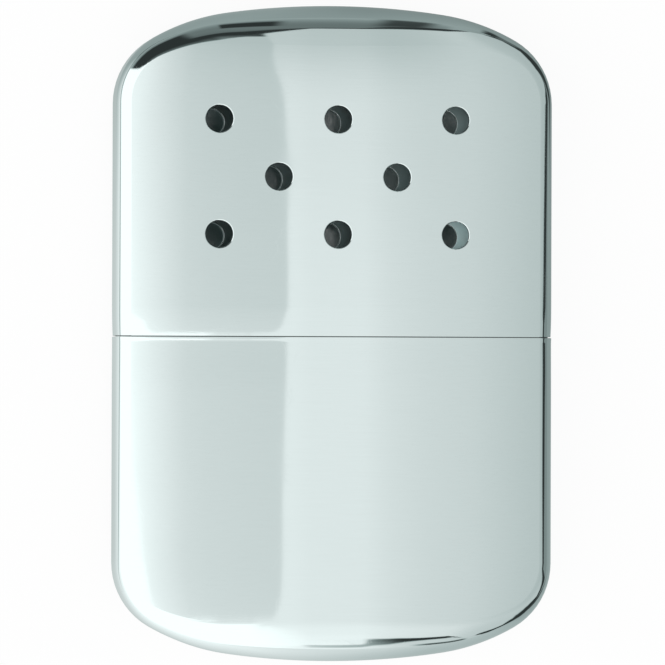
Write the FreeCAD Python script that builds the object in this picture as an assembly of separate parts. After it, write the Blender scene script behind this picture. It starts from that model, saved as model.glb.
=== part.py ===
import FreeCAD, Part
import math
import os

# A pocket catalytic hand warmer: a drawn metal fuel tank packed with wadding, a catalyst burner
# pressed over the tank's filler neck, and a vented lid that slides over the tank's collar.
#
# Millimetres. The case lies on its back: +X is its width, +Y runs from the tank's closed end to
# the lid's closed end, and +Z comes out of its front face. The origin is on the back face, in the
# middle of the length and of the width. Everything is drawn about the middle of the thickness,
# and lifted onto the back face when it is saved.

# ---- Case, outside ----
CASE_LENGTH = 99.0
CASE_WIDTH = 66.2
CASE_THICKNESS = 15.0  # at the middle of the faces
SIDE_THICKNESS = 10.3  # where the bowed faces would meet the flat sides
LID_LENGTH = 50.0  # from the seam to the lid's crown
FACE_LAND = 8.0  # flat strip along the middle of each face
SIDE_EDGE_RADIUS = 2.5  # between a face and a side
END_FLAT = 2.2  # height left flat at the crown, between its two rounded edges
CROWN_RADIUS = 110.0  # an end seen from the front: its crown,
CROWN_HALF_SPAN = 16.3
SHOULDER_RADIUS = 32.0  # its shoulders,
CORNER_RADIUS = 11.2  # and its corners into the sides
SHELL_WALL = 0.4
RIM_ROUNDING = 0.15
SEAM_GAP = 0.1  # between the closed lid's rim and the tank's rim

# ---- Vents in both faces of the lid ----
VENT_DIAMETER = 4.1
VENT_CROWN_DROP = 17.4  # from the crown to the first row
VENT_ROW_PITCH = 8.65
VENT_COLUMN_PITCH = 17.9
VENT_ROWS = (3, 2, 3)  # vents in each row, from the crown down

# ---- Tank cover: the collar that the lid slides over, closed by a plate ----
COLLAR_RISE = 4.5  # above the seam
COLLAR_DEPTH = 6.0  # below the seam, inside the tank
COLLAR_CLEARANCE = 0.1  # running fit inside the lid
COVER_WALL = 0.4
COVER_EDGE_RADIUS = 1.0
SOLDER_HEIGHT = 0.5

# ---- Filler neck ----
NECK_WIDTH = 30.0
NECK_THICKNESS = 9.0
NECK_WALL = 0.4
NECK_RISE = 3.6  # above the cover's plate
NECK_DEPTH = 3.0  # below the top of the cover's plate
NECK_FLANGE = 1.1
SCREEN_DEPTH = 3.0  # from the neck's mouth to the fuel screen
SCREEN_THICKNESS = 0.3
SCREEN_HOLE = 1.8
SCREEN_PITCH = 2.9
FELT_THICKNESS = 3.0

# ---- Burner ----
NECK_CLEARANCE = 0.1  # running fit of the burner over the neck
BURNER_WALL = 0.4
BURNER_LIP = 1.6  # of the top window's frame
BURNER_EDGE_RADIUS = 1.0
COVER_CLEARANCE = 0.3  # from the cover's plate to the burner's skirt
RETAINER_HEIGHT = 1.9
RETAINER_LIP = 1.2
RETAINER_LIP_WALL = 0.3
SLOT_LENGTH = 3.4
SLOT_HEIGHT = 0.9
SLOT_PITCH = 5.2
MESH_THICKNESS = 0.3
MESH_HOLE = 0.8
MESH_PITCH = 1.35
PAD_THICKNESS = 1.6
GRILLE_HOLE = 1.2
GRILLE_PITCH = 1.9
GRILLE_THICKNESS = 0.3
PLATE_BORDER = 0.5  # solid metal round the holes of a perforated plate

# ---- Small gaps ----
SEAT_GAP = 0.1  # between the burner's retainer and the neck's rim
FIT_GAP = 0.05  # round a fixed inner piece
SOFT_GAP = 0.1  # round felt and the catalyst pad
WAD_GAP = 0.3  # round the wadding
WAD_SPLIT = 20.8  # height of the lowest wad

TINY = 0.001  # finer than any edge, for telling edges apart

# ---- Levels along the length ----
CROWN_Y = CASE_LENGTH / 2
SEAM_Y = CROWN_Y - LID_LENGTH
COVER_TOP_Y = SEAM_Y + COLLAR_RISE
SKIRT_Y = SEAM_Y - COLLAR_DEPTH
MOUTH_Y = COVER_TOP_Y + NECK_RISE
NECK_END_Y = COVER_TOP_Y - NECK_DEPTH
SCREEN_Y = MOUTH_Y - SCREEN_DEPTH
RETAINER_Y = MOUTH_Y + SEAT_GAP
MESH_Y = RETAINER_Y + RETAINER_HEIGHT
PAD_Y = MESH_Y + MESH_THICKNESS + SOFT_GAP
GRILLE_Y = PAD_Y + PAD_THICKNESS + SOFT_GAP
BURNER_TOP_Y = GRILLE_Y + GRILLE_THICKNESS + BURNER_WALL
BURNER_Y = COVER_TOP_Y + COVER_CLEARANCE

# ---- Insets from the case's outside ----
COLLAR_INSET = SHELL_WALL + COLLAR_CLEARANCE
COLLAR_BORE_INSET = COLLAR_INSET + COVER_WALL

# ---- Widths and thicknesses that follow from the neck ----
BURNER_BORE_WIDTH = NECK_WIDTH + 2 * NECK_CLEARANCE
BURNER_BORE_THICKNESS = NECK_THICKNESS + 2 * NECK_CLEARANCE
RETAINER_WIDTH = BURNER_BORE_WIDTH - 2 * FIT_GAP
RETAINER_THICKNESS = BURNER_BORE_THICKNESS - 2 * FIT_GAP


def vec(x, y, z):
    return FreeCAD.Vector(x, y, z)


def line(start, end):
    return Part.LineSegment(start, end).toShape()


def arc(start, middle, end):
    return Part.Arc(start, middle, end).toShape()


def mirrored(shape, axis):
    """The shape's mirror image in the plane through the origin across axis."""
    return shape.mirror(vec(0, 0, 0), axis)


# ---- The case's section across its length: flat land, bowed face, rounded edge, flat side ----


def face_radius(inset):
    """Radius of the bowed faces, which fall from the land to the side's thickness."""
    half_chord = (CASE_WIDTH - FACE_LAND) / 2
    fall = (CASE_THICKNESS - SIDE_THICKNESS) / 2
    return (half_chord**2 + fall**2) / (2 * fall) - inset


def section_corner(inset):
    """The points of the section's first quadrant, at y = 0."""
    half_width = CASE_WIDTH / 2 - inset
    half_thickness = CASE_THICKNESS / 2 - inset
    bow = face_radius(inset)
    edge = SIDE_EDGE_RADIUS - inset
    bow_x = FACE_LAND / 2
    bow_z = half_thickness - bow
    edge_x = half_width - edge
    lean = math.asin((edge_x - bow_x) / (bow - edge))
    edge_z = bow_z + (bow - edge) * math.cos(lean)
    turn = (lean + math.pi / 2) / 2
    return (
        vec(bow_x, 0, half_thickness),
        vec(bow_x + bow * math.sin(lean / 2), 0, bow_z + bow * math.cos(lean / 2)),
        vec(bow_x + bow * math.sin(lean), 0, bow_z + bow * math.cos(lean)),
        vec(edge_x + edge * math.sin(turn), 0, edge_z + edge * math.cos(turn)),
        vec(half_width, 0, edge_z),
    )


def section_face(inset):
    """The case's whole section, inset all round."""
    land, bow, tangent, edge, side = section_corner(inset)
    quarter = [arc(land, bow, tangent), arc(tangent, edge, side)]
    half = quarter + [mirrored(piece, vec(0, 0, 1)) for piece in quarter]
    half.append(line(side, vec(side.x, 0, -side.z)))
    pieces = half + [mirrored(piece, vec(1, 0, 0)) for piece in half]
    for z in (land.z, -land.z):
        pieces.append(line(vec(-land.x, 0, z), vec(land.x, 0, z)))
    return Part.Face(Part.Wire(Part.__sortEdges__(pieces)))


def slab(inset, low, high):
    """A straight stretch of the case, inset all round."""
    face = section_face(inset)
    face.translate(vec(0, low, 0))
    return face.extrude(vec(0, high - low, 0))


def sharp_half_section(inset):
    """The section's half at x >= 0 with the bowed faces run out past the side, unrounded."""
    reach = CASE_WIDTH / 2 + 1
    half_thickness = CASE_THICKNESS / 2 - inset
    bow = face_radius(inset)
    bow_x = FACE_LAND / 2
    bow_z = half_thickness - bow
    lean = math.asin((reach - bow_x) / bow)
    land = vec(bow_x, 0, half_thickness)
    middle = vec(bow_x + bow * math.sin(lean / 2), 0, bow_z + bow * math.cos(lean / 2))
    tip = vec(reach, 0, bow_z + bow * math.cos(lean))
    top = vec(0, 0, half_thickness)
    upper = [line(top, land), arc(land, middle, tip)]
    pieces = upper + [mirrored(piece, vec(0, 0, 1)) for piece in upper]
    pieces.append(line(tip, vec(tip.x, 0, -tip.z)))
    pieces.append(line(top, vec(0, 0, -top.z)))
    return Part.Face(Part.Wire(Part.__sortEdges__(pieces)))


# ---- The case's closed ends ----


def end_turns():
    """How far the outline has turned where the crown ends and where the shoulder ends."""
    crown = math.asin(CROWN_HALF_SPAN / CROWN_RADIUS)
    across = CASE_WIDTH / 2 - CORNER_RADIUS - CROWN_HALF_SPAN + SHOULDER_RADIUS * math.sin(crown)
    shoulder = math.asin(across / (SHOULDER_RADIUS - CORNER_RADIUS))
    return crown, shoulder


def end_centres():
    """Centres of the outline's crown, shoulder and corner arcs, for x >= 0."""
    crown, shoulder = end_turns()
    low = vec(0, CROWN_Y - CROWN_RADIUS, 0)
    step = CROWN_RADIUS - SHOULDER_RADIUS
    middle = low + vec(step * math.sin(crown), step * math.cos(crown), 0)
    step = SHOULDER_RADIUS - CORNER_RADIUS
    high = middle + vec(step * math.sin(shoulder), step * math.cos(shoulder), 0)
    return low, middle, high


def end_start_y():
    """Where the sides stop being straight."""
    return end_centres()[2].y


def outline_arc(centre, radius, start, end):
    """An arc about centre, its angles turning from +Y towards +X."""
    places = [
        centre + vec(radius * math.sin(turn), radius * math.cos(turn), 0)
        for turn in (start, (start + end) / 2, end)
    ]
    return arc(*places)


def half_end_face(inset):
    """Front view of the end's half at x >= 0, from where the sides stop being straight."""
    crown, shoulder = end_turns()
    low, middle, high = end_centres()
    start = end_start_y()
    side = vec(CASE_WIDTH / 2 - inset, start, 0)
    foot = vec(0, start, 0)
    pieces = [
        outline_arc(low, CROWN_RADIUS - inset, 0, crown),
        outline_arc(middle, SHOULDER_RADIUS - inset, crown, shoulder),
        outline_arc(high, CORNER_RADIUS - inset, shoulder, math.pi / 2),
        line(side, foot),
        line(foot, vec(0, CROWN_Y - inset, 0)),
    ]
    return Part.Face(Part.Wire(Part.__sortEdges__(pieces)))


def rim_radii(solid, side, inset):
    """Each edge of the front (side 1) or back (side -1) rim, with the radius at its two ends.

    The radius falls evenly along the rim, from the crown's middle down to the sides' own.
    """
    start = end_start_y()
    rim = []
    for number, edge in enumerate(solid.Edges, 1):
        middle = edge.CenterOfMass
        box = edge.BoundBox
        off_planes = middle.x > TINY and middle.y > start + TINY
        slanting = box.XLength > TINY and box.YLength > TINY
        if middle.z * side > 0 and off_planes and slanting:
            rim.append((middle.x, number, edge.Length))
    rim.sort()
    at_crown = (CASE_THICKNESS - END_FLAT) / 2 - inset
    at_side = SIDE_EDGE_RADIUS - inset
    fall = (at_crown - at_side) / sum(length for _, _, length in rim)
    radii = []
    radius = at_crown
    for _, number, length in rim:
        radii.append((number, radius, radius - fall * length))
        radius -= fall * length
    return radii


def round_rims(solid, inset):
    """Round the end's front and back rims."""
    document = FreeCAD.newDocument()
    sharp = document.addObject("Part::Feature", "Sharp")
    sharp.Shape = solid
    fillet = document.addObject("Part::Fillet", "Rounded")
    fillet.Base = sharp
    fillet.Edges = rim_radii(solid, 1, inset) + rim_radii(solid, -1, inset)
    document.recompute()
    rounded = fillet.Shape.Solids[0].copy()
    FreeCAD.closeDocument(document.Name)
    return rounded


def closed_end(inset):
    """The end at +Y, a full solid, inset all round."""
    face = half_end_face(inset)
    face.translate(vec(0, 0, -CASE_THICKNESS))
    block = face.extrude(vec(0, 0, 2 * CASE_THICKNESS))
    section = sharp_half_section(inset).extrude(vec(0, CASE_LENGTH, 0))
    half = round_rims(block.common(section).Solids[0], inset)
    return half.fuse(mirrored(half, vec(1, 0, 0))).removeSplitter()


def closed_body(inset, low):
    """The case from low up to its closed end at +Y, inset all round."""
    return closed_end(inset).fuse(slab(inset, low, end_start_y())).removeSplitter()


def edges_at(solid, level):
    """The solid's edges that lie in the plane across its length at that level."""
    found = []
    for edge in solid.Edges:
        box = edge.BoundBox
        if box.YLength < TINY and abs(box.YMin - level) < TINY:
            found.append(edge)
    return found


def round_open_rim(shell, level):
    """Round the outer edge of a shell's open rim."""
    inside = section_face(SHELL_WALL / 2)
    inside.translate(vec(0, level, 0))
    rim = [edge for edge in edges_at(shell, level) if edge.distToShape(inside)[0] > TINY]
    return shell.makeFillet(RIM_ROUNDING, rim)


def case_shell(rim_level):
    """A drawn cup with its closed end at +Y and its open rim at rim_level."""
    cavity = closed_body(SHELL_WALL, rim_level - 1)
    return round_open_rim(closed_body(0, rim_level).cut(cavity), rim_level)


def round_top(solid, level, radius):
    """Round the edge round a solid's flat top."""
    return solid.makeFillet(radius, edges_at(solid, level))


# ---- Stadium shapes: two flats joined by half circles ----


def stadium_face(width, thickness, level):
    """A stadium across the length, its half circles at the ends of its width."""
    radius = thickness / 2
    flat = width / 2 - radius
    right = arc(vec(flat, level, radius), vec(width / 2, level, 0), vec(flat, level, -radius))
    top = line(vec(-flat, level, radius), vec(flat, level, radius))
    bottom = line(vec(-flat, level, -radius), vec(flat, level, -radius))
    left = mirrored(right, vec(1, 0, 0))
    return Part.Face(Part.Wire(Part.__sortEdges__([top, right, bottom, left])))


def stadium(width, thickness, low, high):
    return stadium_face(width, thickness, low).extrude(vec(0, high - low, 0))


def stadium_tube(width, thickness, wall, low, high):
    inside = stadium(width - 2 * wall, thickness - 2 * wall, low - 1, high + 1)
    return stadium(width, thickness, low, high).cut(inside)


def perforated_plate(width, thickness, low, high, hole, pitch):
    """A stadium plate with rows of round holes, every other row shifted half a pitch."""
    radius = thickness / 2 - hole / 2 - PLATE_BORDER
    flat = width / 2 - thickness / 2
    rows = int(radius / (pitch * math.sqrt(3) / 2))
    columns = int(width / pitch)
    cutters = []
    for row in range(-rows, rows + 1):
        z = row * pitch * math.sqrt(3) / 2
        for column in range(-columns, columns + 1):
            x = (column + (row % 2) / 2) * pitch
            if math.hypot(max(abs(x) - flat, 0), z) > radius:
                continue
            cutters.append(Part.makeCylinder(hole / 2, high - low, vec(x, low, z), vec(0, 1, 0)))
    return stadium(width, thickness, low, high).cut(cutters)


def burner_slots():
    """Cutters for the air slots through both faces of the burner, above the neck's mouth."""
    level = (RETAINER_Y + MESH_Y - RETAINER_LIP_WALL) / 2
    room = BURNER_BORE_WIDTH - BURNER_BORE_THICKNESS - SLOT_LENGTH
    pairs = int(room / 2 / SLOT_PITCH)
    reach = BURNER_BORE_THICKNESS
    cutters = []
    for place in range(-pairs, pairs + 1):
        flat = (SLOT_LENGTH - SLOT_HEIGHT) / 2
        block = Part.makeBox(2 * flat, SLOT_HEIGHT, 2 * reach, vec(-flat, -SLOT_HEIGHT / 2, -reach))
        for end in (-flat, flat):
            rod = Part.makeCylinder(SLOT_HEIGHT / 2, 2 * reach, vec(end, 0, -reach))
            block = block.fuse(rod)
        block.translate(vec(place * SLOT_PITCH, level, 0))
        cutters.append(block)
    return cutters


# ---- The pieces ----


def vent_places():
    """x and y of each vent, row by row from the crown down."""
    places = []
    for row, count in enumerate(VENT_ROWS):
        y = CROWN_Y - VENT_CROWN_DROP - row * VENT_ROW_PITCH
        for column in range(count):
            places.append(((column - (count - 1) / 2) * VENT_COLUMN_PITCH, y))
    return places


def lid_shell():
    cutters = []
    for x, y in vent_places():
        start = vec(x, y, -CASE_THICKNESS)
        cutters.append(Part.makeCylinder(VENT_DIAMETER / 2, 2 * CASE_THICKNESS, start))
    return case_shell(SEAM_Y).cut(cutters)


def tank_shell():
    """The same kind of cup, mirrored so that its closed end is at -Y."""
    return mirrored(case_shell(SEAM_GAP - SEAM_Y), vec(0, 1, 0))


def tank_cover():
    """Collar and plate in one drawn piece, open below and pierced for the neck."""
    outside = slab(COLLAR_INSET, SKIRT_Y, COVER_TOP_Y)
    inside = slab(COLLAR_BORE_INSET, SKIRT_Y - 1, COVER_TOP_Y - COVER_WALL)
    outside = round_top(outside, COVER_TOP_Y, COVER_EDGE_RADIUS)
    inside = round_top(inside, COVER_TOP_Y - COVER_WALL, COVER_EDGE_RADIUS - COVER_WALL)
    hole = stadium(
        NECK_WIDTH + 2 * FIT_GAP, NECK_THICKNESS + 2 * FIT_GAP, COVER_TOP_Y - 1, COVER_TOP_Y + 1
    )
    return outside.cut(inside).cut(hole)


def tank_seam_solder():
    """The bead that closes the corner between the tank's wall and the collar's lower edge."""
    outside = slab(SHELL_WALL + FIT_GAP, SKIRT_Y - SOLDER_HEIGHT, SKIRT_Y)
    return outside.cut(slab(COLLAR_BORE_INSET, SKIRT_Y - 1, SKIRT_Y + 1))


def filler_neck():
    """A stadium tube through the cover, with a flange that seats under its plate."""
    plate_y = COVER_TOP_Y - COVER_WALL
    width = NECK_WIDTH + 2 * NECK_FLANGE
    thickness = NECK_THICKNESS + 2 * NECK_FLANGE
    flange = stadium(width, thickness, plate_y - NECK_WALL, plate_y)
    tube = stadium(NECK_WIDTH, NECK_THICKNESS, NECK_END_Y, MOUTH_Y)
    bore = stadium(
        NECK_WIDTH - 2 * NECK_WALL, NECK_THICKNESS - 2 * NECK_WALL, NECK_END_Y - 1, MOUTH_Y + 1
    )
    return tube.fuse(flange).cut(bore)


def in_neck(gap, low, high):
    """Width, thickness and levels of a plate that fills the neck's bore, less a gap all round."""
    inset = 2 * (NECK_WALL + gap)
    return NECK_WIDTH - inset, NECK_THICKNESS - inset, low, high


def fuel_screen():
    plate = in_neck(FIT_GAP, SCREEN_Y - SCREEN_THICKNESS, SCREEN_Y)
    return perforated_plate(*plate, SCREEN_HOLE, SCREEN_PITCH)


def neck_felt():
    top = SCREEN_Y - SCREEN_THICKNESS - SOFT_GAP
    return stadium(*in_neck(SOFT_GAP, top - FELT_THICKNESS, top))


def wadding_upper():
    """The wad inside the collar."""
    return slab(COLLAR_BORE_INSET + WAD_GAP, SKIRT_Y, NECK_END_Y - WAD_GAP)


def wadding_split_y():
    return WAD_SPLIT - CROWN_Y


def wadding_middle():
    top = SKIRT_Y - SOLDER_HEIGHT - WAD_GAP
    return slab(SHELL_WALL + WAD_GAP, wadding_split_y(), top)


def wadding_lower():
    """The wad in the tank's closed end."""
    top = wadding_split_y() - WAD_GAP
    return mirrored(closed_body(SHELL_WALL + WAD_GAP, -top), vec(0, 1, 0))


def burner_body():
    """A cap over the neck, with a window in its top and air slots in its faces."""
    width = BURNER_BORE_WIDTH + 2 * BURNER_WALL
    thickness = BURNER_BORE_THICKNESS + 2 * BURNER_WALL
    outside = stadium(width, thickness, BURNER_Y, BURNER_TOP_Y)
    outside = round_top(outside, BURNER_TOP_Y, BURNER_EDGE_RADIUS)
    bore_top = BURNER_TOP_Y - BURNER_WALL
    bore = stadium(BURNER_BORE_WIDTH, BURNER_BORE_THICKNESS, BURNER_Y - 1, bore_top)
    window = stadium(
        width - 2 * BURNER_LIP, thickness - 2 * BURNER_LIP, bore_top - 1, BURNER_TOP_Y + 1
    )
    return outside.cut(bore).cut(window).cut(burner_slots())


def burner_retainer():
    """The sleeve that seats on the neck's rim and carries the mesh and the pad."""
    wall = NECK_WALL + FIT_GAP
    sleeve = stadium_tube(RETAINER_WIDTH, RETAINER_THICKNESS, wall, RETAINER_Y, MESH_Y)
    lip = stadium_tube(
        RETAINER_WIDTH, RETAINER_THICKNESS, RETAINER_LIP, MESH_Y - RETAINER_LIP_WALL, MESH_Y
    )
    return sleeve.fuse(lip).removeSplitter().cut(burner_slots())


def pad_support_mesh():
    high = MESH_Y + MESH_THICKNESS
    return perforated_plate(RETAINER_WIDTH, RETAINER_THICKNESS, MESH_Y, high, MESH_HOLE, MESH_PITCH)


def catalyst_pad():
    width = BURNER_BORE_WIDTH - 2 * SOFT_GAP
    return stadium(width, BURNER_BORE_THICKNESS - 2 * SOFT_GAP, PAD_Y, PAD_Y + PAD_THICKNESS)


def burner_grille():
    high = GRILLE_Y + GRILLE_THICKNESS
    return perforated_plate(
        RETAINER_WIDTH, RETAINER_THICKNESS, GRILLE_Y, high, GRILLE_HOLE, GRILLE_PITCH
    )


PIECES = {
    "lid_shell": lid_shell,
    "tank_shell": tank_shell,
    "tank_cover": tank_cover,
    "tank_seam_solder": tank_seam_solder,
    "filler_neck": filler_neck,
    "fuel_screen": fuel_screen,
    "neck_felt": neck_felt,
    "wadding_upper": wadding_upper,
    "wadding_middle": wadding_middle,
    "wadding_lower": wadding_lower,
    "burner_body": burner_body,
    "burner_retainer": burner_retainer,
    "pad_support_mesh": pad_support_mesh,
    "catalyst_pad": catalyst_pad,
    "burner_grille": burner_grille,
}

os.makedirs("parts", exist_ok=True)
for node, build in PIECES.items():
    piece = build()
    if piece.ShapeType == "Compound" and len(piece.Solids) == 1:
        piece = piece.Solids[0]
    piece.translate(vec(0, 0, CASE_THICKNESS / 2))
    piece.exportStep("parts/" + node + ".step")
    print(node, len(piece.Solids), piece.isValid(), round(piece.Volume, 1))
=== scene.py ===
import math

import bmesh
import bpy
from mathutils import Matrix, Vector, noise


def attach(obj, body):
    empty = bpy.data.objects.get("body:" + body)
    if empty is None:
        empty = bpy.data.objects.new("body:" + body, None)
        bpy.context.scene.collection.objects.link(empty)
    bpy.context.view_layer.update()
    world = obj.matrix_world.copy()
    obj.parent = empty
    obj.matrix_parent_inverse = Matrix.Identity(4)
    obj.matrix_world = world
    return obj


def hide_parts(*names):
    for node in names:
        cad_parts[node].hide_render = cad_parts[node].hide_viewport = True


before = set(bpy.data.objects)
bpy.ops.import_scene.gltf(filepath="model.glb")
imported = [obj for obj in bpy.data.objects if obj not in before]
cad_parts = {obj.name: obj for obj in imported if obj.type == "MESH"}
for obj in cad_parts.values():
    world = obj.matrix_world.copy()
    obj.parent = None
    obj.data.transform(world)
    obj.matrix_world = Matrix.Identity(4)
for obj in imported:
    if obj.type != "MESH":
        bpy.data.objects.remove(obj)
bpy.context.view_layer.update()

# A pocket catalytic hand warmer lying on its back. Shapes are worked out in millimetres about the
# middle of the case's thickness, and put in the frame (metres, back face at z = 0) at the end.

MM = 0.001

# ---- Case ----
HALF_LENGTH = 49.5
HALF_WIDTH = 33.1
HALF_THICKNESS = 7.5
SIDE_HALF_THICKNESS = 5.15
LAND = 4.0  # half the flat strip along each face
SIDE_EDGE = 2.5  # radius between a face and a side
CROWN_EDGE = 6.4  # the same radius in the middle of the closed end
CROWN_RADIUS = 110.0
CROWN_HALF_SPAN = 16.3
SHOULDER_RADIUS = 32.0
CORNER_RADIUS = 11.2
WALL = 0.4
SKIN_GAP = 0.06  # how far short of the lining a rim's or a vent's cut edge stops and turns
RIM_ROLL = 0.05

LID_RIM = -0.5
TANK_RIM = -0.6

# ---- Vents ----
VENT_RADIUS = 2.05
VENT_ROLL = 0.17
VENT_CELL_X = 17.9 / 24
VENT_CELL_Y = 8.65 / 12
VENT_BLOCK = 4  # cells each side of a vent's centre
TOP_VENTS = 32.1
VENTS = [(-17.9, 32.1), (0, 32.1), (17.9, 32.1), (-8.95, 23.45), (8.95, 23.45),
         (-17.9, 14.8), (0, 14.8), (17.9, 14.8)]

HALF_CHORD = HALF_WIDTH - LAND
FALL = HALF_THICKNESS - SIDE_HALF_THICKNESS
BOW = (HALF_CHORD**2 + FALL**2) / (2 * FALL)  # radius of the bowed faces
BOW_HEIGHT = HALF_THICKNESS - BOW  # height of its centre


# ---- The drawn case: outline, bowed face and rolling-ball edge ----

CROWN_TURN = math.asin(CROWN_HALF_SPAN / CROWN_RADIUS)
SHOULDER_TURN = math.asin(
    (HALF_WIDTH - CORNER_RADIUS - CROWN_HALF_SPAN + SHOULDER_RADIUS * math.sin(CROWN_TURN))
    / (SHOULDER_RADIUS - CORNER_RADIUS))


def turned(radius, turn):
    return Vector((radius * math.sin(turn), radius * math.cos(turn)))


CROWN_CENTRE = Vector((0, HALF_LENGTH - CROWN_RADIUS))
SHOULDER_CENTRE = CROWN_CENTRE + turned(CROWN_RADIUS - SHOULDER_RADIUS, CROWN_TURN)
CORNER_CENTRE = SHOULDER_CENTRE + turned(SHOULDER_RADIUS - CORNER_RADIUS, SHOULDER_TURN)
CROWN_RUN = CROWN_RADIUS * CROWN_TURN
SHOULDER_RUN = CROWN_RUN + SHOULDER_RADIUS * (SHOULDER_TURN - CROWN_TURN)
END_RUN = SHOULDER_RUN + CORNER_RADIUS * (math.pi / 2 - SHOULDER_TURN)
STRAIGHT_TOP = CORNER_CENTRE.y


def outline(run):
    """Point, outward way and radius of the outline, run mm along it from the crown's middle."""
    side = -1 if run < 0 else 1
    run = abs(run)
    if run < CROWN_RUN:
        centre, radius, turn = CROWN_CENTRE, CROWN_RADIUS, run / CROWN_RADIUS
    elif run < SHOULDER_RUN:
        turn = CROWN_TURN + (run - CROWN_RUN) / SHOULDER_RADIUS
        centre, radius = SHOULDER_CENTRE, SHOULDER_RADIUS
    elif run < END_RUN:
        turn = SHOULDER_TURN + (run - SHOULDER_RUN) / CORNER_RADIUS
        centre, radius = CORNER_CENTRE, CORNER_RADIUS
    else:
        point = Vector((side * HALF_WIDTH, STRAIGHT_TOP - (run - END_RUN)))
        return point, Vector((side, 0)), math.inf
    point = centre + turned(radius, turn)
    outward = turned(1, turn)
    return Vector((side * point.x, point.y)), Vector((side * outward.x, outward.y)), radius


def edge_radius(run):
    """Radius of the case's edge and how fast it changes along the outline."""
    along = min(abs(run) / END_RUN, 1)
    swell = (CROWN_EDGE - SIDE_EDGE) / 2
    radius = SIDE_EDGE + swell * (1 + math.cos(math.pi * along))
    change = -swell * math.sin(math.pi * along) * math.pi / END_RUN
    return radius, math.copysign(change, -run) if run else 0


def face_height(x, drop=0.0):
    """Height of the bowed face at x, or of a surface inside it by drop."""
    over = max(abs(x) - LAND, 0)
    return BOW_HEIGHT + math.sqrt((BOW - drop)**2 - over**2)


def face_normal(x, drop=0.0):
    over = max(abs(x) - LAND, 0)
    lean = math.asin(over / (BOW - drop))
    return Vector((math.copysign(math.sin(lean), x), 0, math.cos(lean)))


def edge_ball(run):
    """Centre of the ball that rolls inside the case's edge, and the face's normal it touches at."""
    point, outward, _ = outline(run)
    radius, _ = edge_radius(run)
    flat = point - radius * outward
    centre = Vector((flat.x, flat.y, face_height(flat.x, radius)))
    return centre, face_normal(flat.x, radius)


def edge_point(run, share):
    """Point and normal on the rounded edge: share 0 on the face, 1 on the wall."""
    centre, top = edge_ball(run)
    _, outward, bend = outline(run)
    radius, change = edge_radius(run)
    wall = Vector((outward.x, outward.y, 0))
    span = top.angle(wall)
    from_top = math.sin((1 - share) * span) / math.sin(span)
    from_wall = math.sin(share * span) / math.sin(span)
    along = Vector((outward.y, -outward.x, 0))
    slip = change * (from_top + from_wall - 1) / (1 - radius / bend)
    normal = (from_top * top + from_wall * wall + slip * along).normalized()
    return centre + radius * normal, normal


def wall_point(run, share):
    """Point and normal on the upright wall: share 0 at the rounded edge, 1 at the middle height."""
    point, outward, _ = outline(run)
    centre, _ = edge_ball(run)
    return (Vector((point.x, point.y, centre.z * (1 - share))),
            Vector((outward.x, outward.y, 0)))


def contact_run(x):
    """The run at which the rounded edge meets the face at x."""
    low, high = 0.0, END_RUN
    for _ in range(HALVINGS):
        middle = (low + high) / 2
        if edge_point(middle, 0)[0].x < abs(x):
            low = middle
        else:
            high = middle
    return math.copysign((low + high) / 2, x)


# ---- Building with a planned normal at every vertex ----

FINE_COLUMNS = 30  # cells each side of the middle, in step with the vents
CORNER_COLUMNS = 14
EDGE_STEPS = 16
WALL_STEPS = 2
UPPER_ROWS = 12
RING_STEPS = 3
ROLL_STEPS = 4
HALVINGS = 50
TINY = 1e-6
MIRROR_MERGE = 1e-5
RING_MERGE = 1e-4
CLOSE = 1e-3
RIM_ROWS = (0.15, 0.3, 0.45, 0.6, 0.75, 0.9, 1.1, 1.3)  # rows above the first, close together
CROWN_REACH = 10.0  # the last of each face, which leans back a little more towards the closed end
LID_CROWN = 0.035  # how much, in radians
TANK_CROWN = 0.019
LID_MOUTH = (4.4, 0.102)  # how far up the lid draws in towards its mouth, and by how much
TANK_MOUTH = (0.75, 8.0, 0.024)  # the tank's wall dips just below its mouth, and comes back slowly


def column_runs():
    """The run where each column of the face's grid ends, from left to right."""
    fine = [contact_run(i * VENT_CELL_X) for i in range(1, FINE_COLUMNS + 1)]
    rest = END_RUN - fine[-1]
    corner = [fine[-1] + rest * i / CORNER_COLUMNS for i in range(1, CORNER_COLUMNS + 1)]
    right = fine + corner
    return [-run for run in reversed(right)] + [0.0] + right


def face_rows(rim):
    """Heights of the face's rows over the vents' columns, and the number below the upper block."""
    block_top = TOP_VENTS + VENT_BLOCK * VENT_CELL_Y
    start = rim + RIM_ROLL
    count = int((block_top - start) / VENT_CELL_Y)
    rows = [start] + [start + step for step in RIM_ROWS]
    rows += [block_top - VENT_CELL_Y * (count - 2 - k) for k in range(count - 1)]
    return rows, len(rows) - 2 * VENT_BLOCK


def crowned(point, normal, run, share, crown):
    """A point and its normal once the face's end leans back by crown. share is 1 at the end."""
    way = edge_point(run, 1)[1]
    most = share * way.y**2
    sink = crown * CROWN_REACH / 3 * most * share**2
    tilt = crown * most * share * Vector((way.x, way.y, 0))
    return point - sink * normal, (normal + tilt).normalized()


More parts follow.
